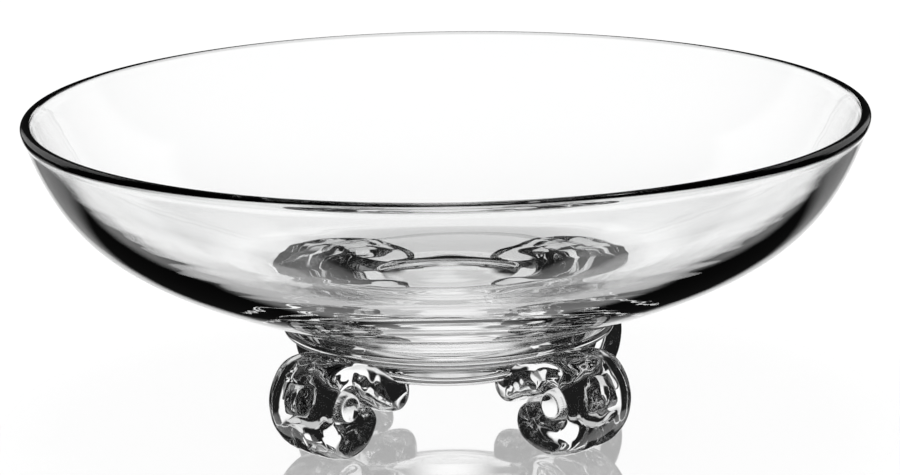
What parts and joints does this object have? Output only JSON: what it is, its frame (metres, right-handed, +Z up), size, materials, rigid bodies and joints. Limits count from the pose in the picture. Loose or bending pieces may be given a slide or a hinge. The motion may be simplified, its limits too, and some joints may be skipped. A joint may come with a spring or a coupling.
{
  "type": "footed glass bowl",
  "caption": "Shallow clear glass bowl for floating candles, with a rounded lip, a base pad and scroll feet rolled up from thick glass bands.",
  "frame": {"origin": "floor level on the bowl's axis, in the plane of the ground flats under the feet", "axes": "+Z up along the bowl's axis, -Y towards the viewer of the picture, +X to the viewer's right"},
  "size_m": [0.3048, 0.3048, 0.1165],
  "materials": {
    "clear_glass": "polished, fire-finished clear crystal"
  },
  "bodies": {
    "root": {"bowl": "clear_glass", "base_pad": "clear_glass", "scroll_foot_front_left": "clear_glass", "scroll_foot_front_right": "clear_glass", "scroll_foot_back_right": "clear_glass", "scroll_foot_back_left": "clear_glass"}
  },
  "joints": []
}
